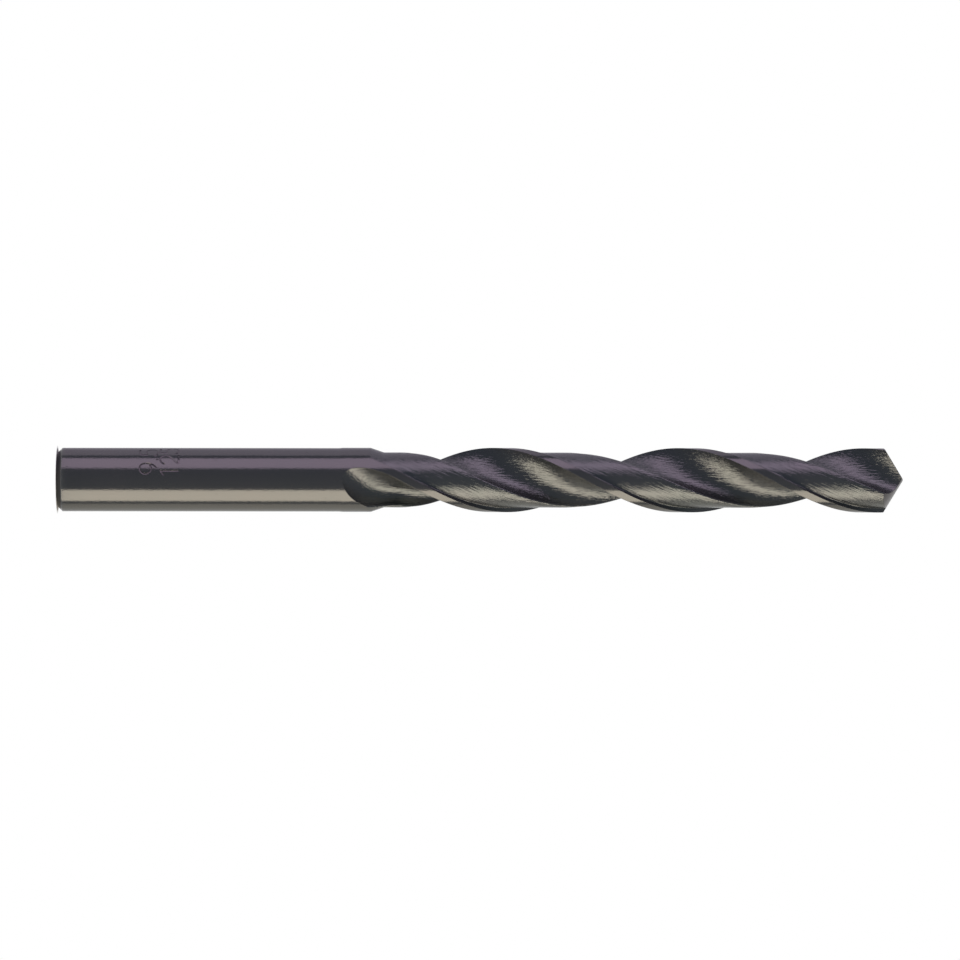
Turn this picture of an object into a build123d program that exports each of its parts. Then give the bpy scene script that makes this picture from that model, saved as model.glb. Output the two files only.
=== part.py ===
from build123d import *
import os
from math import acos, asin, atan2, ceil, cos, degrees, radians, sin, sqrt, tan

# A right-hand twist drill of jobber length, ground from one bar of high-speed steel.
# Millimetres. It stands on its shank end: the origin is the centre of that end face
# and +Z runs along the axis to the point.

os.makedirs("parts", exist_ok=True)

# Blank
cutting_diameter = 9.5  # over the margins
shank_undersize = 0.1  # the shank is this much thinner
overall_length = 125.0  # shank end to chisel edge
end_chamfer = 0.75
shoulder_length = 0.5  # slight cone between the shank and the full diameter

# Flutes
helix_lead = 54.8  # length of one full turn
point_turn = 39.0  # angle of a cutting corner at the height of the chisel edge, from +X
flute_length = 82.8  # chisel edge to where the flutes have left the surface
web_thickness = 1.8  # metal between the flutes at the point
web_growth = 0.009  # added web thickness for each millimetre towards the shank
heel_angle = 102.4  # across the flute, from the cutting corner to the middle of the heel
heel_radius = 0.45
heel_sink = 0.1  # the rounded heel stays this far under the relieved land
heel_lean = 8.0  # slope of the narrow flat between the heel and the land
heel_bulge = 21.0  # degrees by which the heel comes forward where the run-out begins
bulge_length = 12.0  # from there to where it is back in its place
wheel_radius = 12.0  # of the run-out that the grinding wheel leaves at the shank end

# Lands
margin_width = 1.25  # strip left at the full diameter, measured round it
relief_depth = 0.68  # how far the rest of the land lies below the margin
relief_length = 78.7  # chisel edge to the shank end of the relief
relief_ramp = 2.0  # length of the slope at that end

# Point
point_angle = 118.0
grind_half_angle = 42.0  # half angle of the cone that a flank is a part of
grind_apex = 4.0  # from the middle of the point up to the apex of that cone
grind_tilt = 2.0  # clearance angle right behind the lip
chisel_drop = 0.15  # the chisel edge lies this far below the middle of the lip lines

# Reach of the cutting tools
overcut = 1.0  # past the metal
wedge_angle = 90.0  # from the margin across the land and into the flute behind it
section_turn = 30.0  # turn of the helix from one section of a flute to the next

# Worked out from the sizes above
radius = cutting_diameter / 2
shank_radius = radius - shank_undersize / 2
relief_radius = radius - relief_depth
margin_angle = degrees(margin_width / radius)
twist = 360 / helix_lead  # degrees for each millimetre of length
half_point = radians(point_angle / 2)
flute_end = overall_length - flute_length
relief_end = overall_length - relief_length
tool_top = overall_length + overcut


def polar(r, angle):
    """Point at radius r, at an angle in degrees."""
    return Vector(r * cos(radians(angle)), r * sin(radians(angle)))


def corner_angle(z):
    """Angle of the first cutting corner at height z."""
    return point_turn + twist * (z - overall_length)


def half_web(z):
    """Radius of the core that the flutes leave at height z."""
    return (web_thickness + web_growth * (overall_length - z)) / 2


def root_angle(web):
    """Angle from the cutting corner to the deepest line of the flute."""
    lip = sqrt(radius**2 - web**2)
    return 90 - degrees(asin(web / radius)) - twist * lip / tan(half_point)


def wheel_rise(z):
    """How far the grinding wheel has risen at height z, past the full depth of the flute."""
    return wheel_radius - sqrt(wheel_radius**2 - (full_depth_end - z) ** 2)


def run_out(rise):
    """Length over which the grinding wheel rises by this much."""
    return sqrt(wheel_radius**2 - (wheel_radius - rise) ** 2)


def section_plane(z, rise=0.0):
    """Plane across the drill with its X axis through the cutting corner.

    In the run-out it moves out with the wheel, in the direction of the flute's root.
    """
    moved = polar(rise, corner_angle(z) + root_angle(half_web(z)))
    return Plane(origin=(moved.X, moved.Y, z), x_dir=polar(1, corner_angle(z)), z_dir=(0, 0, 1))


def heel_turn(z):
    """Angle from the cutting corner to the middle of the heel at height z.

    The wheel cuts the heel last, so the flute is narrowest where its run-out begins.
    """
    if z < full_depth_end:
        share = ((z - flute_end) / (full_depth_end - flute_end)) ** 2
    else:
        share = max(1 - (z - full_depth_end) / bulge_length, 0)
    return heel_angle - heel_bulge * share


def flute_space(web, heel):
    """Cross-section of the space that a flute takes up, with the cutting corner at angle 0.

    Its cutting face is the curve that a straight lip draws when it is carried along the
    helix. The round bottom touches the core, and the rounded heel runs into a flat that
    leaves the metal just behind it.
    """
    root = root_angle(web)
    outside = radius + overcut
    turn_back = twist / tan(half_point)  # helix angle for each millimetre along the lip

    def face_point(lip):
        angle = degrees(atan2(web, lip)) + turn_back * lip + root - 90
        return polar(sqrt(lip**2 + web**2), angle)

    def face_direction(lip):
        drift = radians(turn_back)
        slant = degrees(atan2(drift * lip, 1 - drift * web))
        return polar(1, 180 + slant + turn_back * lip + root - 90)

    longest = sqrt(outside**2 - web**2)
    face_steps = 6
    face = [face_point(longest * (1 - i / face_steps)) for i in range(face_steps + 1)]
    face_start = degrees(atan2(face[0].Y, face[0].X))

    heel_distance = relief_radius - heel_sink - heel_radius
    heel_centre = polar(heel_distance, heel)
    reach = heel_distance * cos(radians(heel - root))
    span_squared = heel_distance**2 + web**2 - 2 * web * reach
    flute_radius = (span_squared - heel_radius**2) / (2 * (reach + heel_radius - web))
    flute_centre = polar(web + flute_radius, root)
    to_heel = heel_centre - flute_centre
    wall_end = degrees(atan2(to_heel.Y, to_heel.X))

    flat_angle = heel - heel_lean
    flat_distance = heel_distance * cos(radians(heel_lean)) + heel_radius
    flat_end_angle = flat_angle + degrees(acos(flat_distance / outside))
    flat_start = heel_centre + polar(heel_radius, flat_angle)
    flat_end = polar(outside, flat_end_angle)

    with BuildSketch() as space:
        with BuildLine():
            Spline(face, tangents=[face_direction(longest), face_direction(0)])
            CenterArc(flute_centre, flute_radius, root + 180, wall_end - root - 180)
            CenterArc(heel_centre, heel_radius, wall_end - 180, flat_angle - wall_end + 180)
            Line(flat_start, flat_end)
            CenterArc((0, 0), outside, flat_end_angle, face_start - flat_end_angle)
        make_face()
    return space.sketch


def grinding_cone(turn):
    """Plane with its origin at the apex of the cone of one flank, and -Z along its axis.

    The cone touches the lip, which points along turn as seen from above, and leans back from
    it, so that the flank falls away behind it and the two flanks meet in the chisel edge.
    """
    along = polar(1, turn)
    ahead = polar(1, turn + 90)
    lip = along * sin(half_point) - Vector(0, 0, cos(half_point))
    outward = along * cos(half_point) + Vector(0, 0, sin(half_point))
    normal = outward * cos(radians(grind_tilt)) - ahead * sin(radians(grind_tilt))
    axis = lip * cos(radians(grind_half_angle)) - normal * sin(radians(grind_half_angle))
    middle = ahead * half_web(overall_length) + Vector(0, 0, overall_length + chisel_drop)
    return Plane(origin=middle - lip * grind_apex, z_dir=axis * -1)


# The space that one flute takes up: sections along the helix, which move out along the arc
# of the wheel where the flute ends.
full_rise = radius - half_web(flute_end)
full_depth_end = flute_end + run_out(full_rise)
run_out_start = full_depth_end - run_out(full_rise + overcut / 2)
run_out_steps = 6
helix_steps = ceil(twist * (tool_top - full_depth_end) / section_turn)
with BuildPart() as flute_tool:
    for i in range(run_out_steps):
        height = run_out_start + (full_depth_end - run_out_start) * i / run_out_steps
        with BuildSketch(section_plane(height, wheel_rise(height))):
            add(flute_space(half_web(height), heel_turn(height)))
    for i in range(helix_steps + 1):
        height = full_depth_end + (tool_top - full_depth_end) * i / helix_steps
        with BuildSketch(section_plane(height)):
            add(flute_space(half_web(height), heel_turn(height)))
    loft()

# The space over one relieved land: a wedge carried along the helix, less a turned core
# that slopes up to the full diameter at the shank end.
with BuildPart() as relief_tool:
    with BuildSketch(Plane(origin=(0, 0, relief_end), x_dir=polar(1, corner_angle(relief_end)))):
        with BuildLine():
            wedge_inside = relief_radius - overcut
            wedge_outside = radius + overcut
            wedge_end = -margin_angle - wedge_angle
            Line(polar(wedge_outside, -margin_angle), polar(wedge_inside, -margin_angle))
            CenterArc((0, 0), wedge_inside, -margin_angle, -wedge_angle)
            Line(polar(wedge_inside, wedge_end), polar(wedge_outside, wedge_end))
            CenterArc((0, 0), wedge_outside, wedge_end, wedge_angle)
        make_face()
    sweep(
        path=Line((0, 0, relief_end), (0, 0, tool_top)),
        binormal=Helix(helix_lead, tool_top - relief_end, radius, center=(0, 0, relief_end)),
    )
    with BuildSketch(Plane.XZ):
        with BuildLine():
            Polyline(
                (0, relief_end - overcut),
                (radius, relief_end - overcut),
                (radius, relief_end),
                (relief_radius, relief_end + relief_ramp),
                (relief_radius, tool_top + overcut),
                (0, tool_top + overcut),
                close=True,
            )
        make_face()
    revolve(axis=Axis.Z, mode=Mode.SUBTRACT)

# The bar, then the lands, the flutes and the point ground into it.
corner_height = overall_length + chisel_drop - radius / tan(half_point)
lip_turn = corner_angle(corner_height) - degrees(asin(half_web(overall_length) / radius))
cone_length = overall_length + cutting_diameter  # past the shank end
with BuildPart() as twist_drill:
    with BuildSketch(Plane.XZ):
        with BuildLine():
            Polyline(
                (0, 0),
                (shank_radius, 0),
                (shank_radius, flute_end - shoulder_length),
                (radius, flute_end),
                (radius, tool_top),
                (0, tool_top),
                close=True,
            )
        make_face()
    revolve(axis=Axis.Z)
    chamfer(twist_drill.edges().group_by(Axis.Z)[0], end_chamfer)
    with PolarLocations(0, 2):
        add(relief_tool.part, mode=Mode.SUBTRACT)
    with PolarLocations(0, 2):
        add(flute_tool.part, mode=Mode.SUBTRACT)
    for turn in (lip_turn, lip_turn + 180):
        with Locations(grinding_cone(turn)):
            Cone(
                bottom_radius=cone_length * tan(radians(grind_half_angle)),
                top_radius=0,
                height=cone_length,
                align=(Align.CENTER, Align.CENTER, Align.MAX),
                mode=Mode.INTERSECT,
            )

twist_drill.part.label = "twist_drill"
export_step(twist_drill.part, "parts/twist_drill.step")
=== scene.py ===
"""A right-hand twist drill in black-oxide high-speed steel, lit as a catalogue picture.

The drill stands on its shank end. It is ground from one bar, so it is one piece, which is cut here
as the real one is: a turned blank, two relieved lands, two helical flutes that run out along the
arc of the grinding wheel, two conical flanks, and the size marks on the shank.
"""

import logging
import math
from collections.abc import Iterator
from dataclasses import dataclass, field
from enum import Enum

import bmesh
import bpy
from mathutils import Matrix, Vector


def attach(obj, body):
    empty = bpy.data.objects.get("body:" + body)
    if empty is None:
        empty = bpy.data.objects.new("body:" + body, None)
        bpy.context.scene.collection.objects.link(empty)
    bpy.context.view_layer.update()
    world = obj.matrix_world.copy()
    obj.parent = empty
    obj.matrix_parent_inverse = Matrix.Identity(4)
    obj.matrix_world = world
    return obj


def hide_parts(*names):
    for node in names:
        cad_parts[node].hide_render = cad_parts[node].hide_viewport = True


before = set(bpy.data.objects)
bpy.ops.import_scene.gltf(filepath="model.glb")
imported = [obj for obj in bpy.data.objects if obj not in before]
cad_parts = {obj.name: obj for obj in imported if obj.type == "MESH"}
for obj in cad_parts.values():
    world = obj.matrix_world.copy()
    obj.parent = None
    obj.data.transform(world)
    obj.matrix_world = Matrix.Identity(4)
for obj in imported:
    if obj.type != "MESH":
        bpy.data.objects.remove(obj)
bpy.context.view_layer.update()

MM = 0.001
NODE = "twist_drill"
SLOT = "black_oxide_steel"
HAIR = 0.001  # millimetres, below which two heights or two points are the same
CUT_TRIES = 4
CUT_NUDGE = 0.0002  # millimetres
LEAST_SHARE = 0.3  # of a piece's faces, that a cut leaves if it worked
STROKE_STEPS = 16  # of each bend in a numeral
COLOUR_MIX_SHARE, COLOUR_MIX_FIRST, COLOUR_MIX_SECOND, COLOUR_MIX_RESULT = 0, 6, 7, 2
log = logging.getLogger("twist_drill")

Point = tuple[float, float]
Ring = list[Vector]
Colour = tuple[float, float, float, float]
Socket = bpy.types.NodeSocket


class Zone(Enum):
    """The kinds of surface on the drill, by the operation that made each."""

    TURNED = "ground_shank"
    LAND = "relieved_land"
    FLUTE = "ground_flute"
    FLANK = "ground_flank"
    MARK = "rolled_mark"


def polar(radius: float, angle: float) -> Vector:
    """A point in the XY plane at a radius, at an angle in degrees."""
    turn = math.radians(angle)
    return Vector((radius * math.cos(turn), radius * math.sin(turn)))


def arc(centre: Vector, radius: float, start: float, sweep: float, steps: int) -> list[Vector]:
    """Points along an arc.

    Args:
        centre: Centre of the arc.
        radius: Its radius.
        start: Angle of the first point, in degrees.
        sweep: How far it turns, in degrees; negative is clockwise.
        steps: Number of equal steps.

    Returns:
        steps + 1 points.
    """
    return [centre + polar(radius, start + sweep * i / steps) for i in range(steps + 1)]


def linear_colour(code: str) -> Colour:
    """A colour written as sRGB hex, such as 4a4950, in the linear values that a shader takes."""
    shares = [int(code[i : i + 2], 16) / 255 for i in (0, 2, 4)]
    values = [s / 12.92 if s <= 0.04045 else ((s + 0.055) / 1.055) ** 2.4 for s in shares]
    return (*values, 1.0)


def add_node(
    tree: bpy.types.NodeTree,
    kind: str,
    inputs: dict[str | int, object] | None = None,
    **settings: object,
) -> bpy.types.Node:
    """Adds one node with its settings and links.

    Args:
        tree: The node tree it goes into.
        kind: The node's type name, without the leading ShaderNode.
        inputs: Input name or index to a value, or to the socket that feeds it.
        settings: The node's own properties.

    Returns:
        The new node.
    """
    node = tree.nodes.new(f"ShaderNode{kind}")
    for name, value in settings.items():
        setattr(node, name, value)
    for name, value in (inputs or {}).items():
        if isinstance(value, Socket):
            tree.links.new(value, node.inputs[name])
        else:
            node.inputs[name].default_value = value
    return node


def new_material(name: str) -> tuple[bpy.types.Material, bpy.types.NodeTree]:
    """A material with an empty node tree, and that tree."""
    material = bpy.data.materials.new(name)
    material.use_nodes = True
    material.node_tree.nodes.clear()
    return material, material.node_tree


@dataclass(frozen=True)
class DrillSizes:
    """The drill's driving sizes, in millimetres and degrees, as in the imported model."""

    cutting_diameter: float = 9.5
    shank_undersize: float = 0.1
    overall_length: float = 125.0
    end_chamfer: float = 0.75
    shoulder_length: float = 0.5
    helix_lead: float = 54.8
    point_turn: float = 39.0
    flute_length: float = 82.8
    web_thickness: float = 1.8
    web_growth: float = 0.009
    heel_angle: float = 102.4
    heel_radius: float = 0.2
    heel_sink: float = 0.1
    heel_lean: float = 8.0
    heel_bulge: float = 21.0
    bulge_length: float = 12.0
    wheel_radius: float = 12.0
    margin_width: float = 1.25
    relief_depth: float = 0.68
    relief_length: float = 78.7
    relief_ramp: float = 2.0
    point_angle: float = 118.0
    grind_half_angle: float = 42.0
    grind_apex: float = 4.0
    grind_tilt: float = 2.0
    chisel_drop: float = 0.15
    overcut: float = 1.0
    wedge_angle: float = 90.0

    @property
    def radius(self) -> float:
        """Radius over the margins."""
        return self.cutting_diameter / 2

    @property
    def shank_radius(self) -> float:
        """Radius of the shank."""
        return self.radius - self.shank_undersize / 2

    @property
    def relief_radius(self) -> float:
        """Radius of the relieved lands."""
        return self.radius - self.relief_depth

    @property
    def twist(self) -> float:
        """Degrees of helix for each millimetre of length."""
        return 360 / self.helix_lead

    @property
    def half_point(self) -> float:
        """Half of the point angle, in radians."""
        return math.radians(self.point_angle / 2)

    @property
    def flute_end(self) -> float:
        """Height at which the flutes have left the surface."""
        return self.overall_length - self.flute_length

    @property
    def full_depth_end(self) -> float:
        """Height at which the flutes reach their full depth."""
        return self.flute_end + self.run_out(self.radius - self.half_web(self.flute_end))

    @property
    def tool_top(self) -> float:
        """Height that the cutters reach, past the point."""
        return self.overall_length + self.overcut

    def corner_angle(self, z: float) -> float:
        """Angle of the first cutting corner at height z, in degrees."""
        return self.point_turn + self.twist * (z - self.overall_length)

    def half_web(self, z: float) -> float:
        """Radius of the core that the flutes leave at height z."""
        return (self.web_thickness + self.web_growth * (self.overall_length - z)) / 2

    def root_angle(self, web: float) -> float:
        """Angle from the cutting corner to the deepest line of the flute, in degrees."""
        lip = math.sqrt(self.radius**2 - web**2)
        lean = math.degrees(math.asin(web / self.radius))
        return 90 - lean - self.twist * lip / math.tan(self.half_point)

    def run_out(self, rise: float) -> float:
        """Length over which the grinding wheel rises by this much."""
        return math.sqrt(self.wheel_radius**2 - (self.wheel_radius - rise) ** 2)

    def heel_turn(self, z: float) -> float:
        """Angle from the cutting corner to the middle of the heel at height z, in degrees."""
        if z < self.full_depth_end:
            share = ((z - self.flute_end) / (self.full_depth_end - self.flute_end)) ** 2
        else:
            share = max(1 - (z - self.full_depth_end) / self.bulge_length, 0)
        return self.heel_angle - self.heel_bulge * share


def deselect() -> None:
    """Leaves nothing selected, because an operator acts on all that is."""
    bpy.ops.object.select_all(action="DESELECT")


def select_only(item: bpy.types.Object) -> None:
    """Selects one object and makes it the active one."""
    deselect()
    item.select_set(True)
    bpy.context.view_layer.objects.active = item


def loft(name: str, rings: list[Ring]) -> bpy.types.Object:
    """A closed solid through rings with as many points each, by extruding a disc step by step.

    Args:
        name: Name of the object.
        rings: The rings, in millimetres. Each runs the same way round from the same corner.

    Returns:
        The solid, at the origin, with its faces outwards.
    """
    deselect()
    bpy.ops.mesh.primitive_circle_add(vertices=len(rings[0]), radius=MM, fill_type="NGON")
    solid = bpy.context.object
    solid.name = name
    bpy.ops.object.mode_set(mode="EDIT")
    shape = bmesh.from_edit_mesh(solid.data)
    place = shape.verts.layers.int.new("place")
    for index, vert in enumerate(shape.verts):
        vert[place] = index
        vert.co = rings[0][index] * MM
    for ring in rings[1:]:
        bpy.ops.mesh.extrude_region_move()
        shape = bmesh.from_edit_mesh(solid.data)
        place = shape.verts.layers.int["place"]
        shape.verts.ensure_lookup_table()
        for vert in shape.verts[-len(ring) :]:
            vert.co = ring[vert[place]] * MM
    bpy.ops.mesh.select_all(action="SELECT")
    bpy.ops.mesh.normals_make_consistent(inside=False)
    bpy.ops.object.mode_set(mode="OBJECT")
    return solid


def cut(piece: bpy.types.Object, cutter: bpy.types.Object) -> None:
    """Cuts a piece with a cutter, whose material the new faces take, and deletes the cutter.

    The solver can give up and leave no face. The cut is then made again with the cutter moved by
    a hair, and left out if it never works.

    Args:
        piece: The piece to cut.
        cutter: The closed solid that is taken away from it.
    """
    before = piece.data.copy()
    for _ in range(CUT_TRIES):
        select_only(piece)
        modifier = piece.modifiers.new(cutter.name, "BOOLEAN")
        modifier.operation = "DIFFERENCE"
        modifier.solver = "EXACT"
        modifier.material_mode = "TRANSFER"
        modifier.object = cutter
        bpy.ops.object.modifier_apply(modifier=modifier.name)
        if len(piece.data.polygons) > LEAST_SHARE * len(before.polygons):
            break
        log.warning("%s: %d faces left, cut again", cutter.name, len(piece.data.polygons))
        piece.data = before.copy()
        cutter.data.transform(Matrix.Translation(Vector((1, 1, 1)) * CUT_NUDGE * MM))
    bpy.data.meshes.remove(before)
    bpy.data.objects.remove(cutter, do_unlink=True)


@dataclass(frozen=True)
class BlackOxide:
    """High-speed steel, ground and then blackened in a hot salt bath.

    The oxide is a film of about a micrometre, so the grinding lines show through it: it gives the
    eye a dark, glossy metal with a violet and bronze tint, and fringed edges to its reflections.
    """

    zone: Zone
    base: str = "5c5c5d"
    tint: str = "575a5b"
    tint_size: float = 7.0
    tint_detail: float = 3.0
    tint_roughness: float = 0.6
    metallic: float = 0.75  # the film scatters a little of the light itself
    roughness: float = 0.22
    roughness_spread: float = 0.06
    line_pitch: float = 0.18
    line_length: float = 2.2
    line_height: float = 0.0016
    line_turn: float = 1.0
    line_detail: float = 2.0
    pit_spacing: float = 1.6
    pit_radius: float = 0.07
    pit_floor: float = 0.6
    pit_colour: str = "201f22"
    edge_radius: float = 0.08
    edge_samples: int = 6

    def make(self, sizes: DrillSizes) -> bpy.types.Material:
        """Makes the material.

        Args:
            sizes: The drill's sizes, for the lead that the grinding lines follow.

        Returns:
            The material, named for its zone.
        """
        material, tree = new_material(f"{SLOT}_{self.zone.value}")
        place = add_node(tree, "TexCoord").outputs["Object"]
        lines = self.lines(tree, place, sizes)
        tint = add_node(
            tree,
            "TexNoise",
            {
                "Vector": place,
                "Scale": 1 / (self.tint_size * MM),
                "Detail": self.tint_detail,
                "Roughness": self.tint_roughness,
            },
        )
        colour = self.mix_colours(
            tree, tint.outputs["Fac"], linear_colour(self.base), linear_colour(self.tint)
        )
        pits = self.pits(tree, place)
        pitted = self.mix_colours(tree, pits, colour, linear_colour(self.pit_colour))
        roughness = add_node(
            tree,
            "MapRange",
            {
                "Value": lines,
                "To Min": self.roughness - self.roughness_spread / 2,
                "To Max": self.roughness + self.roughness_spread / 2,
            },
        )
        rounded = add_node(
            tree, "Bevel", {"Radius": self.edge_radius * MM}, samples=self.edge_samples
        )
        relief = add_node(
            tree,
            "Bump",
            {
                "Height": lines,
                "Strength": 1.0,
                "Distance": self.line_height * MM,
                "Normal": rounded.outputs["Normal"],
            },
        )
        pit_relief = add_node(
            tree,
            "Bump",
            {
                "Height": pits,
                "Strength": 1.0,
                "Distance": self.pit_radius * MM / 2,
                "Normal": relief.outputs["Normal"],
            },
            invert=True,
        )
        shader = add_node(
            tree,
            "BsdfPrincipled",
            {
                "Base Color": pitted,
                "Metallic": self.metallic,
                "Roughness": roughness.outputs["Result"],
                "Normal": pit_relief.outputs["Normal"],
            },
        )
        add_node(tree, "OutputMaterial", {"Surface": shader.outputs["BSDF"]})
        return material

    def mix_colours(
        self,
        tree: bpy.types.NodeTree,
        share: Socket,
        first: Socket | Colour,
        second: Socket | Colour,
    ) -> Socket:
        """The colour between two.

        Args:
            tree: The node tree.
            share: How much of the second, from 0 to 1.
            first: The colour at 0.
            second: The colour at 1.

        Returns:
            The socket with the mixed colour.
        """
        inputs = {COLOUR_MIX_SHARE: share, COLOUR_MIX_FIRST: first, COLOUR_MIX_SECOND: second}
        mix = add_node(tree, "Mix", inputs, data_type="RGBA")
        return mix.outputs[COLOUR_MIX_RESULT]

    def lines(self, tree: bpy.types.NodeTree, place: Socket, sizes: DrillSizes) -> Socket:
        """The grinding lines, as a noise that is drawn out along them.

        Real ones are a few hundredths of a millimetre apart. They are drawn as coarse as a pixel,
        which is what it takes to fringe a reflection's edge.

        Args:
            tree: The node tree.
            place: The point in the object.
            sizes: The drill's sizes, for the lead that the lines follow.

        Returns:
            The height, from 0 to 1.
        """
        height = add_node(tree, "SeparateXYZ", {"Vector": place}).outputs["Z"]
        radians_each_metre = math.radians(sizes.twist * self.line_turn) / MM
        turn = add_node(tree, "Math", {0: height, 1: -radians_each_metre}, operation="MULTIPLY")
        straight = add_node(
            tree,
            "VectorRotate",
            {"Vector": place, "Angle": turn.outputs["Value"]},
            rotation_type="Z_AXIS",
        )
        across = 1 / (self.line_pitch * MM)
        along = 1 / (self.line_length * MM)
        drawn = add_node(
            tree,
            "Mapping",
            {"Vector": straight.outputs["Vector"], "Scale": (across, across, along)},
        )
        noise = add_node(
            tree,
            "TexNoise",
            {"Vector": drawn.outputs["Vector"], "Scale": 1.0, "Detail": self.line_detail},
        )
        return noise.outputs["Fac"]

    def pits(self, tree: bpy.types.NodeTree, place: Socket) -> Socket:
        """Small pits, scattered.

        Args:
            tree: The node tree.
            place: The point in the object.

        Returns:
            1 inside a pit and 0 outside.
        """
        scale = 1 / (self.pit_spacing * MM)
        cells = add_node(tree, "TexVoronoi", {"Vector": place, "Scale": scale})
        edge = add_node(
            tree,
            "MapRange",
            {
                "Value": cells.outputs["Distance"],
                "From Min": self.pit_floor * self.pit_radius / self.pit_spacing,
                "From Max": self.pit_radius / self.pit_spacing,
                "To Min": 1.0,
                "To Max": 0.0,
            },
        )
        return edge.outputs["Result"]


@dataclass(frozen=True)
class Stroke:
    """One stroke of a numeral, as points in a box one unit high, from its lower left corner."""

    points: tuple[Point, ...]


def curve_stroke(centre: Point, radius: float, start: float, sweep: float, *ends: Point) -> Stroke:
    """A stroke that is an arc, with straight ends added after it."""
    bend = arc(Vector(centre), radius, start, sweep, STROKE_STEPS)
    return Stroke((*((p.x, p.y) for p in bend), *ends))


NUMERALS: dict[str, tuple[Stroke, ...]] = {
    "1": (Stroke(((0.08, 0.78), (0.32, 0.97))), Stroke(((0.34, 1.0), (0.34, 0.0)))),
    "2": (
        curve_stroke((0.31, 0.70), 0.30, 170, -205, (0.04, 0.03)),
        Stroke(((0.02, 0.0), (0.62, 0.0))),
    ),
    "5": (
        Stroke(((0.58, 1.0), (0.12, 1.0), (0.06, 0.57))),
        curve_stroke((0.29, 0.33), 0.33, 132, -290),
    ),
    "9": (
        curve_stroke((0.31, 0.69), 0.31, -52, -308),
        curve_stroke((-0.02, 0.62), 0.64, 3, -59),
    ),
    ".": (Stroke(((0.12, -0.02), (0.12, 0.12))),),
}


@dataclass(frozen=True)
class SizeMark:
    """A row of numerals rolled into the shank.

    It runs round the shank, with its tops to the shank end.
    """

    text: str
    baseline: float
    height: float
    start: float
    pitch: dict[str, float]
    groove_radius: float = 0.13
    groove_depth: float = 0.09
    groove_resolution: int = 3
    stroke_step: float = 0.07

    def cutters(self, sizes: DrillSizes) -> Iterator[bpy.types.Object]:
        """The tubes that cut the strokes, one at a time.

        Args:
            sizes: The drill's sizes, for the shank that the row is wrapped round.

        Yields:
            A closed tube for each stroke.
        """
        along = self.start
        for letter in self.text:
            for stroke in NUMERALS[letter]:
                yield self.tube(stroke, along, sizes.shank_radius)
            along += self.pitch.get(letter, self.pitch["digit"])

    def tube(self, stroke: Stroke, along: float, shank_radius: float) -> bpy.types.Object:
        """A closed tube along one stroke, wrapped round the shank.

        Args:
            stroke: The stroke.
            along: Where its numeral starts, measured round the shank.
            shank_radius: Radius of the shank.

        Returns:
            The tube.
        """
        radius = shank_radius + self.groove_radius - self.groove_depth
        path = bpy.data.curves.new("stroke", "CURVE")
        path.dimensions = "3D"
        path.bevel_depth = self.groove_radius * MM
        path.bevel_resolution = self.groove_resolution
        path.use_fill_caps = True
        points = self.even(stroke.points)
        line = path.splines.new("POLY")
        line.points.add(len(points) - 1)
        for target, (across, up) in zip(line.points, points):
            turn = (along + across * self.height) / shank_radius
            z = self.baseline - up * self.height
            spot = Vector((-radius * math.sin(turn), -radius * math.cos(turn), z)) * MM
            target.co = (*spot, 1.0)
        tube = bpy.data.objects.new("stroke", path)
        bpy.context.collection.objects.link(tube)
        select_only(tube)
        bpy.ops.object.convert(target="MESH")
        tube = bpy.context.object
        bpy.ops.object.mode_set(mode="EDIT")
        bpy.ops.mesh.select_all(action="SELECT")
        bpy.ops.mesh.remove_doubles(threshold=MM * HAIR)
        bpy.ops.mesh.normals_make_consistent(inside=False)
        bpy.ops.object.mode_set(mode="OBJECT")
        return tube

    def even(self, points: tuple[Point, ...]) -> list[Point]:
        """The stroke with its long runs divided, so that they bend round the shank."""
        out = [points[0]]
        for a, b in zip(points, points[1:]):
            parts = max(1, round(math.dist(a, b) / self.stroke_step))
            out += [tuple(Vector(a).lerp(Vector(b), i / parts)) for i in range(1, parts + 1)]
        return out


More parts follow.
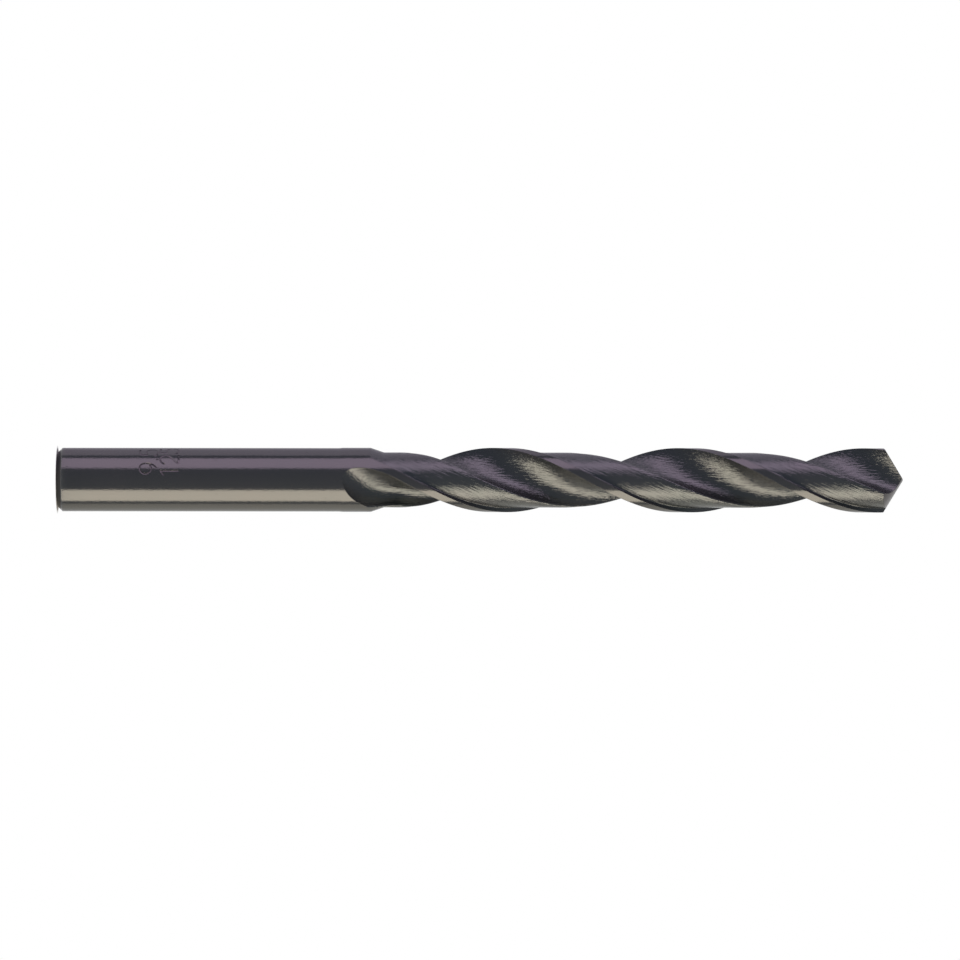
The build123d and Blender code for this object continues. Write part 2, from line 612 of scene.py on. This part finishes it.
@dataclass
class TwistDrill:
    """The drill: its sizes, its marks and its finishes, and the steps that make it.

    The steps of the meshes are in millimetres or degrees or in numbers along each curve. The
    grinding bell reaches back and brims out by its shares of the cutting diameter.
    """

    sizes: DrillSizes
    marks: tuple[SizeMark, ...]
    finishes: dict[Zone, BlackOxide]
    blank_sides: int = 360
    blank_step: float = 2.5
    helix_step: float = 2.5
    ramp_step: float = 0.1
    run_out_step: float = 0.25
    flutes: int = 2
    corner_break: float = 0.16
    corner_steps: int = 4
    margin_fillet: float = 0.12
    fillet_steps: int = 5
    floor_steps: int = 40
    outside_steps: int = 14
    face_steps: int = 18
    bottom_steps: int = 30
    heel_steps: int = 12
    relief_lift: float = 0.002
    bell_back: float = 1 / 3
    bell_brim: float = 1.3
    bell_steps: int = 8
    smooth_angle: float = 22.0
    materials: dict[Zone, bpy.types.Material] = field(default_factory=dict)

    def build(self) -> bpy.types.Object:
        """Cuts the drill from its blank.

        Returns:
            The finished piece.
        """
        self.materials = {zone: finish.make(self.sizes) for zone, finish in self.finishes.items()}
        drill = self.dress(self.blank(), Zone.TURNED)
        log.info("blank: %d faces", len(drill.data.polygons))
        for mark in self.marks:
            for tube in mark.cutters(self.sizes):
                cut(drill, self.dress(tube, Zone.MARK))
        log.info("marks: %d faces", len(drill.data.polygons))
        for turn in self.turns():
            cut(drill, self.dress(self.land_space(turn), Zone.LAND))
        log.info("lands: %d faces", len(drill.data.polygons))
        for turn in self.turns():
            cut(drill, self.dress(self.flute_space(turn), Zone.FLUTE))
        log.info("flutes: %d faces", len(drill.data.polygons))
        for turn in self.turns():
            cut(drill, self.dress(self.flank_bell(turn), Zone.FLANK))
        log.info("point: %d faces", len(drill.data.polygons))
        self.finish(drill)
        return drill

    def turns(self) -> list[float]:
        """The angles that the flutes are set at, in degrees."""
        return [360 * i / self.flutes for i in range(self.flutes)]

    def dress(self, piece: bpy.types.Object, zone: Zone) -> bpy.types.Object:
        """Gives a piece the finish of a zone, and returns it."""
        piece.data.materials.clear()
        piece.data.materials.append(self.materials[zone])
        return piece

    def blank(self) -> bpy.types.Object:
        """The turned blank: shank with its chamfer, shoulder and full diameter."""
        s = self.sizes
        neck = s.flute_end - s.shoulder_length
        profile = [(s.shank_radius - s.end_chamfer, 0.0), (s.shank_radius, s.end_chamfer)]
        shank = self.heights(s.end_chamfer, neck, self.blank_step)[1:]
        body = self.heights(s.flute_end, s.tool_top, self.blank_step)
        profile += [(s.shank_radius, z) for z in shank] + [(s.radius, z) for z in body]
        step = 360 / self.blank_sides
        rings = [
            [Vector((*polar(radius, step * i), z)) for i in range(self.blank_sides)]
            for radius, z in profile
        ]
        blank = loft(NODE + "_body", rings)
        self.round_end(blank)
        return blank

    def round_end(self, blank: bpy.types.Object) -> None:
        """Breaks the two corners of the end chamfer, as tumbling does."""
        select_only(blank)
        bpy.ops.object.mode_set(mode="EDIT")
        shape = bmesh.from_edit_mesh(blank.data)
        bpy.ops.mesh.select_all(action="DESELECT")
        limit = (self.sizes.end_chamfer + HAIR) * MM
        for edge in shape.edges:
            low, high = sorted(v.co.z for v in edge.verts)
            edge.select = high - low < MM * HAIR and high < limit
        bmesh.update_edit_mesh(blank.data)
        bpy.ops.mesh.bevel(
            offset=self.corner_break * MM, segments=self.corner_steps, profile=0.5
        )
        bpy.ops.object.mode_set(mode="OBJECT")

    def heights(self, low: float, high: float, step: float) -> list[float]:
        """Heights from low to high, evenly spaced about a step apart."""
        count = max(1, math.ceil((high - low) / step))
        return [low + (high - low) * i / count for i in range(count + 1)]

    def land_space(self, turn: float) -> bpy.types.Object:
        """The space over one relieved land, with a small fillet at the foot of the margin.

        Args:
            turn: Angle of its flute, in degrees.

        Returns:
            The cutter. Its floor slopes up at the shank end, to just clear of the metal.
        """
        s = self.sizes
        low = s.overall_length - s.relief_length
        top = low + s.relief_ramp
        heights = self.heights(low, top, self.ramp_step)
        heights += self.heights(top, s.tool_top, self.helix_step / s.twist)[1:]
        rings = []
        for z in heights:
            share = min(1.0, (z - low) / s.relief_ramp)
            floor = s.radius + self.relief_lift - (s.relief_depth + self.relief_lift) * share
            ring = []
            for p in self.land_ring(floor):
                angle = math.degrees(math.atan2(p.y, p.x)) + turn + s.corner_angle(z)
                ring.append(Vector((*polar(p.length, angle), z)))
            rings.append(ring)
        return loft("land_space", rings)

    def land_ring(self, floor: float) -> list[Vector]:
        """Outline across the space over a land, with the cutting corner at angle 0.

        Args:
            floor: Radius of the land under it.

        Returns:
            Points down the fillet, along the floor and back along the outside.
        """
        s = self.sizes
        fillet = self.margin_fillet
        outside = s.radius + s.overcut
        margin = math.degrees(s.margin_width / s.radius)
        inset = math.degrees(fillet / floor)
        bend = [
            polar(floor + fillet * (1 - math.sin(a)), -margin - inset * (1 - math.cos(a)))
            for a in (math.radians(90 * i / self.fillet_steps) for i in range(self.fillet_steps))
        ]
        ring = [polar(outside, -margin), *bend]
        axis = Vector((0, 0))
        ring += arc(axis, floor, -margin - inset, inset - s.wedge_angle, self.floor_steps)
        back = arc(axis, outside, -margin - s.wedge_angle, s.wedge_angle, self.outside_steps)
        ring += back[:-1]
        return ring

    def flute_space(self, turn: float) -> bpy.types.Object:
        """The space of one flute, which moves out along the wheel's arc at its shank end.

        Args:
            turn: Angle of the flute, in degrees.

        Returns:
            The cutter.
        """
        s = self.sizes
        full_depth = s.full_depth_end
        start = full_depth - s.run_out(s.radius - s.half_web(s.flute_end) + s.overcut / 2)
        heights = self.heights(start, full_depth, self.run_out_step)
        heights += self.heights(full_depth, s.tool_top, self.helix_step / s.twist)[1:]
        rings = []
        for z in heights:
            web = s.half_web(z)
            below = max(0.0, full_depth - z)
            lift = s.wheel_radius - math.sqrt(s.wheel_radius**2 - below**2)
            angle = turn + s.corner_angle(z)
            moved = polar(lift, angle + s.root_angle(web))
            ring = []
            for p in self.flute_ring(web, s.heel_turn(z)):
                spot = polar(p.length, math.degrees(math.atan2(p.y, p.x)) + angle) + moved
                ring.append(Vector((*spot, z)))
            rings.append(ring)
        return loft("flute_space", rings)

    def flute_ring(self, web: float, heel: float) -> list[Vector]:
        """Outline across a flute, with the cutting corner at angle 0.

        Args:
            web: Radius of the core at this section.
            heel: Angle to the middle of the rounded heel, in degrees.

        Returns:
            Points along the cutting face, the round bottom, the heel and the outside.
        """
        s = self.sizes
        root = s.root_angle(web)
        outside = s.radius + s.overcut
        turn_back = s.twist / math.tan(s.half_point)
        longest = math.sqrt(outside**2 - web**2)
        face = []
        for i in range(self.face_steps):
            lip = longest * (1 - i / self.face_steps)
            angle = math.degrees(math.atan2(web, lip)) + turn_back * lip + root - 90
            face.append(polar(math.hypot(lip, web), angle))
        heel_distance = s.relief_radius - s.heel_sink - s.heel_radius
        heel_centre = polar(heel_distance, heel)
        reach = heel_distance * math.cos(math.radians(heel - root))
        span_squared = heel_distance**2 + web**2 - 2 * web * reach
        flute_radius = (span_squared - s.heel_radius**2) / (2 * (reach + s.heel_radius - web))
        flute_centre = polar(web + flute_radius, root)
        to_heel = heel_centre - flute_centre
        wall_end = math.degrees(math.atan2(to_heel.y, to_heel.x))
        flat_angle = heel - s.heel_lean
        flat_distance = heel_distance * math.cos(math.radians(s.heel_lean)) + s.heel_radius
        flat_end = flat_angle + math.degrees(math.acos(flat_distance / outside))
        face_start = math.degrees(math.atan2(face[0].y, face[0].x))
        bottom = arc(
            flute_centre, flute_radius, root + 180, wall_end - root - 180, self.bottom_steps
        )
        bend = flat_angle - wall_end + 180
        rounded = arc(heel_centre, s.heel_radius, wall_end - 180, bend, self.heel_steps)
        back = arc(Vector((0, 0)), outside, flat_end, face_start - flat_end, self.outside_steps)
        return face + bottom + rounded[1:] + back[:-1]

    def flank_bell(self, turn: float) -> bpy.types.Object:
        """What the grinding of one flank takes away: a bell, hollow as the grinding cone.

        The cone touches the lip and leans back from it. The bell reaches past the metal on all
        sides of the point.

        Args:
            turn: Angle of the flank's lip, in degrees.

        Returns:
            The cutter.
        """
        s = self.sizes
        corner_height = s.overall_length + s.chisel_drop - s.radius / math.tan(s.half_point)
        lean = math.degrees(math.asin(s.half_web(s.overall_length) / s.radius))
        lip_turn = s.corner_angle(corner_height) - lean + turn
        along = Vector((*polar(1, lip_turn), 0))
        ahead = Vector((*polar(1, lip_turn + 90), 0))
        up = Vector((0, 0, 1))
        lip = along * math.sin(s.half_point) - up * math.cos(s.half_point)
        outward = along * math.cos(s.half_point) + up * math.sin(s.half_point)
        tilt = math.radians(s.grind_tilt)
        half = math.radians(s.grind_half_angle)
        normal = outward * math.cos(tilt) - ahead * math.sin(tilt)
        axis = lip * math.cos(half) - normal * math.sin(half)
        middle = ahead * s.half_web(s.overall_length) + up * (s.overall_length + s.chisel_drop)
        apex = middle - lip * s.grind_apex
        side = axis.cross(up).normalized()
        across = axis.cross(side)
        reach = s.cutting_diameter
        steps = self.bell_steps
        hollow = [reach * (1 - i / steps) + HAIR for i in range(steps + 1)]
        brim = self.bell_brim * reach
        profile = [(-self.bell_back * reach, brim), (hollow[0], brim)]
        profile += [(depth, depth * math.tan(half)) for depth in hollow]
        rings = []
        for depth, radius in profile:
            spread = [polar(radius, 360 * i / self.blank_sides) for i in range(self.blank_sides)]
            rings.append([apex + axis * depth + side * p.x + across * p.y for p in spread])
        return loft("flank_bell", rings)

    def finish(self, drill: bpy.types.Object) -> None:
        """Smooths the round surfaces, keeps the edges crisp, and hands the piece to the frame."""
        select_only(drill)
        bpy.ops.object.mode_set(mode="EDIT")
        bpy.ops.mesh.select_all(action="SELECT")
        bpy.ops.mesh.remove_doubles(threshold=MM * HAIR / 2)
        bpy.ops.object.mode_set(mode="OBJECT")
        bpy.ops.object.shade_smooth_by_angle(angle=math.radians(self.smooth_angle))
        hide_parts(NODE)
        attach(drill, "root")
        log.info("%s: %d faces", drill.name, len(drill.data.polygons))


class Side(Enum):
    """Which side of the drill a lamp stands on, as a sign along X."""

    LEFT = -1
    RIGHT = 1


@dataclass(frozen=True)
class Softbox:
    """A tall diffusing panel beside the drill, turned to face it.

    The shank mirrors it as a band, whose edges lie at the two bearings.
    """

    side: Side
    near_bearing: float
    far_bearing: float
    distance: float
    height: float
    centre_z: float
    colour: str
    strength: float

    def build(self) -> bpy.types.Object:
        """Adds the panel.

        Returns:
            The lamp.
        """
        middle = (self.near_bearing + self.far_bearing) / 2
        half = math.radians(self.far_bearing - self.near_bearing) / 2
        width = 2 * self.distance * math.tan(half)
        bearing = math.radians(middle)
        spot = Vector((self.side.value * math.sin(bearing), -math.cos(bearing), 0)) * self.distance
        data = bpy.data.lights.new(f"softbox_{self.side.name.lower()}", "AREA")
        data.shape = "RECTANGLE"
        data.size = width
        data.size_y = self.height
        data.color = linear_colour(self.colour)[:3]
        data.energy = self.strength * math.pi * width * self.height
        lamp = bpy.data.objects.new(data.name, data)
        lamp.location = spot + Vector((0, 0, self.centre_z))
        lamp.rotation_euler = (-spot).to_track_quat("-Z", "Y").to_euler()
        lamp.visible_camera = False
        bpy.context.collection.objects.link(lamp)
        log.info("%s: %.2f m wide", lamp.name, width)
        return lamp


@dataclass(frozen=True)
class Studio:
    """The surroundings: a white floor, a curved paper backdrop that glows with painted
    reflections, and the room's dim light.

    The floor is small, because a large one fills the dark bands on the shank with white. It is
    plain paper under the drill, where the shadow lies, and white to the eye from shadow_radius on.
    """

    floor_radius: float = 0.014
    floor_sides: int = 96
    shadow_start: float = 0.0045
    shadow_radius: float = 0.0051
    paper_colour: str = "e8e8e8"
    backdrop_sides: int = 128
    backdrop_radius: float = 0.75
    backdrop_height: float = 3.0
    backdrop_edge: float = 98.0
    # Painted reflections: the glow across the backdrop, lilac on the left lamp's side, grey bands
    # of painted shade, white, and warm on the right lamp's side.
    backdrop_painted_glow: tuple[tuple[float, str], ...] = (
        (0.0, "efe2f2"),
        (0.12, "c9bfcf"),
        (0.3, "b9b3bf"),
        (0.5, "ffffff"),
        (0.8, "d8d8d4"),
        (0.9, "f4efe4"),
        (1.0, "fff6e6"),
    )
    room_colour: str = "727a85"

    def build(self) -> None:
        """Adds the floor, the backdrop and the world."""
        self.floor()
        self.backdrop()
        self.world()

    def floor(self) -> None:
        """A round white floor that keeps the drill's shadow near its foot."""
        deselect()
        bpy.ops.mesh.primitive_circle_add(
            vertices=self.floor_sides, radius=self.floor_radius, fill_type="NGON"
        )
        floor = bpy.context.object
        floor.name = "floor"
        material, tree = new_material("white_floor")
        place = add_node(tree, "TexCoord").outputs["Object"]
        away = add_node(tree, "VectorMath", {0: place}, operation="LENGTH").outputs["Value"]
        fade = add_node(
            tree,
            "MapRange",
            {"Value": away, "From Min": self.shadow_start, "From Max": self.shadow_radius},
        )
        paper = add_node(tree, "BsdfDiffuse", {"Color": linear_colour(self.paper_colour)})
        white = add_node(tree, "Emission", {"Color": linear_colour("ffffff"), "Strength": 1.0})
        near = add_node(
            tree,
            "MixShader",
            {0: fade.outputs["Result"], 1: paper.outputs["BSDF"], 2: white.outputs["Emission"]},
        )
        self.show_to_eye(tree, near.outputs["Shader"], paper.outputs["BSDF"])
        floor.data.materials.append(material)

    def backdrop(self) -> None:
        """A half round of paper behind the drill, which the metal mirrors: to reflections it glows
        in painted bands, lilac on the left, greys, white in the middle and warm on the right.
        """
        deselect()
        bpy.ops.mesh.primitive_cylinder_add(
            vertices=self.backdrop_sides,
            radius=self.backdrop_radius,
            depth=self.backdrop_height,
            end_fill_type="NOTHING",
            location=(0, 0, 0),
        )
        backdrop = bpy.context.object
        backdrop.name = "backdrop"
        bpy.ops.object.mode_set(mode="EDIT")
        shape = bmesh.from_edit_mesh(backdrop.data)
        bpy.ops.mesh.select_all(action="DESELECT")
        limit = -self.backdrop_radius * math.cos(math.radians(self.backdrop_edge))
        for face in shape.faces:
            face.select = face.calc_center_median().y < limit
        bmesh.update_edit_mesh(backdrop.data)
        bpy.ops.mesh.delete(type="FACE")
        bpy.ops.object.mode_set(mode="OBJECT")
        material, tree = new_material("painted_glow_backdrop")
        paper = add_node(tree, "BsdfDiffuse", {"Color": linear_colour(self.paper_colour)})
        place = add_node(tree, "TexCoord").outputs["Object"]
        across = add_node(tree, "SeparateXYZ", {"Vector": place}).outputs["X"]
        share = add_node(
            tree,
            "MapRange",
            {"Value": across, "From Min": -self.backdrop_radius, "From Max": self.backdrop_radius},
        )
        glow_ramp = add_node(tree, "ValToRGB", {"Fac": share.outputs["Result"]})
        ramp = glow_ramp.color_ramp
        for index, (spot, colour) in enumerate(self.backdrop_painted_glow):
            stop = ramp.elements[index] if index < 2 else ramp.elements.new(spot)
            stop.position, stop.color = spot, linear_colour(colour)
        # Painted glow, though no lamp: the backdrop shines its ramp of painted light and shade
        # into the metal's reflections.
        white = add_node(tree, "Emission", {"Color": glow_ramp.outputs["Color"], "Strength": 1.0})
        self.show_to_eye(tree, white.outputs["Emission"], paper.outputs["BSDF"])
        backdrop.data.materials.append(material)
        backdrop.visible_camera = False

    def show_to_eye(self, tree: bpy.types.NodeTree, seen: Socket, other: Socket) -> None:
        """Shows one shader to camera, glossy and transmission rays, and another to the rest.

        Args:
            tree: The material's node tree, which gets its output here.
            seen: The shader that the eye meets, straight or in a reflection.
            other: The shader that lights the drill.
        """
        path = add_node(tree, "LightPath")
        either = add_node(
            tree,
            "Math",
            {0: path.outputs["Is Camera Ray"], 1: path.outputs["Is Glossy Ray"]},
            operation="MAXIMUM",
        )
        any_ray = add_node(
            tree,
            "Math",
            {0: either.outputs["Value"], 1: path.outputs["Is Transmission Ray"]},
            operation="MAXIMUM",
        )
        mixed = add_node(tree, "MixShader", {0: any_ray.outputs["Value"], 1: other, 2: seen})
        add_node(tree, "OutputMaterial", {"Surface": mixed.outputs["Shader"]})

    def world(self) -> None:
        """White behind the drill as the camera sees it, and a dim room for the rest."""
        world = bpy.data.worlds.new("studio")
        world.use_nodes = True
        tree = world.node_tree
        tree.nodes.clear()
        path = add_node(tree, "LightPath")
        white = add_node(tree, "Background", {"Color": linear_colour("ffffff"), "Strength": 1.0})
        dim = linear_colour(self.room_colour)
        room = add_node(tree, "Background", {"Color": dim, "Strength": 1.0})
        mixed = add_node(
            tree,
            "MixShader",
            {
                0: path.outputs["Is Camera Ray"],
                1: room.outputs["Background"],
                2: white.outputs["Background"],
            },
        )
        add_node(tree, "OutputWorld", {"Surface": mixed.outputs["Shader"]})
        bpy.context.scene.world = world


@dataclass(frozen=True)
class ProductCamera:
    """The camera, level with the middle of the drill and rolled to put the point on the right.

    Millimetres and degrees: field is the width of what it sees at the drill.
    """

    distance: float = 950.0
    height: float = 62.47
    field: float = 141.97
    roll: float = -90.065
    nearest: float = 50.0

    def build(self) -> bpy.types.Object:
        """Adds the camera and makes it the scene's.

        Returns:
            The camera.
        """
        data = bpy.data.cameras.new("product_camera")
        data.lens = data.sensor_width * self.distance / self.field
        data.clip_start = self.nearest * MM
        camera = bpy.data.objects.new("product_camera", data)
        camera.location = Vector((0, -self.distance, self.height)) * MM
        camera.rotation_euler = (math.radians(90), math.radians(self.roll), 0)
        bpy.context.collection.objects.link(camera)
        bpy.context.scene.camera = camera
        bpy.context.scene.view_settings.view_transform = "Standard"
        return camera


def main() -> None:
    """Builds the drill and its studio, and logs the face counts and the softbox widths."""
    logging.basicConfig(level=logging.INFO, format="%(name)s: %(message)s")
    sizes = DrillSizes()
    finishes = {
        # Centreless ground: a fine, short grain, which softens the edges of its bands.
        Zone.TURNED: BlackOxide(
            Zone.TURNED,
            roughness=0.16,
            line_pitch=0.2,
            line_length=0.5,
            line_height=0.008,
            line_turn=0.0,
        ),
        # Ground along the helix: long lines, so that a reflection ends in fringes.
        Zone.LAND: BlackOxide(
            Zone.LAND, base="565d5d", tint="5d5d60", roughness=0.16, line_height=0.06
        ),
        # Ground by the wheel's rim: the deepest lines, steeper than the helix.
        Zone.FLUTE: BlackOxide(
            Zone.FLUTE,
            base="555b5b",
            tint="5d5d60",
            roughness=0.14,
            line_height=0.065,
            line_turn=0.4,
        ),
        # Ground last and finely: a soft, even sheen.
        Zone.FLANK: BlackOxide(Zone.FLANK, base="6a6468", roughness=0.3, line_turn=0.0),
        # Pressed by a roller: smooth grooves with sharp rims.
        Zone.MARK: BlackOxide(
            Zone.MARK, base="646264", tint="5a585c", roughness=0.12, edge_radius=0.02
        ),
    }
    pitch = {"digit": 2.0, ".": 1.1}
    marks = (
        SizeMark("9.5", baseline=15.05, height=2.7, start=0.85, pitch=pitch),
        SizeMark("125", baseline=18.05, height=2.7, start=0.4, pitch=pitch),
    )
    TwistDrill(sizes, marks, finishes).build()
    Softbox(Side.LEFT, 42.0, 84.0, 0.6, 0.9, 0.06, "f0d3ea", 1.75).build()
    Softbox(Side.RIGHT, 38.0, 84.0, 0.6, 0.9, 0.06, "ffefd6", 3.8).build()
    Studio().build()
    ProductCamera().build()


if __name__ == "__main__":
    main()
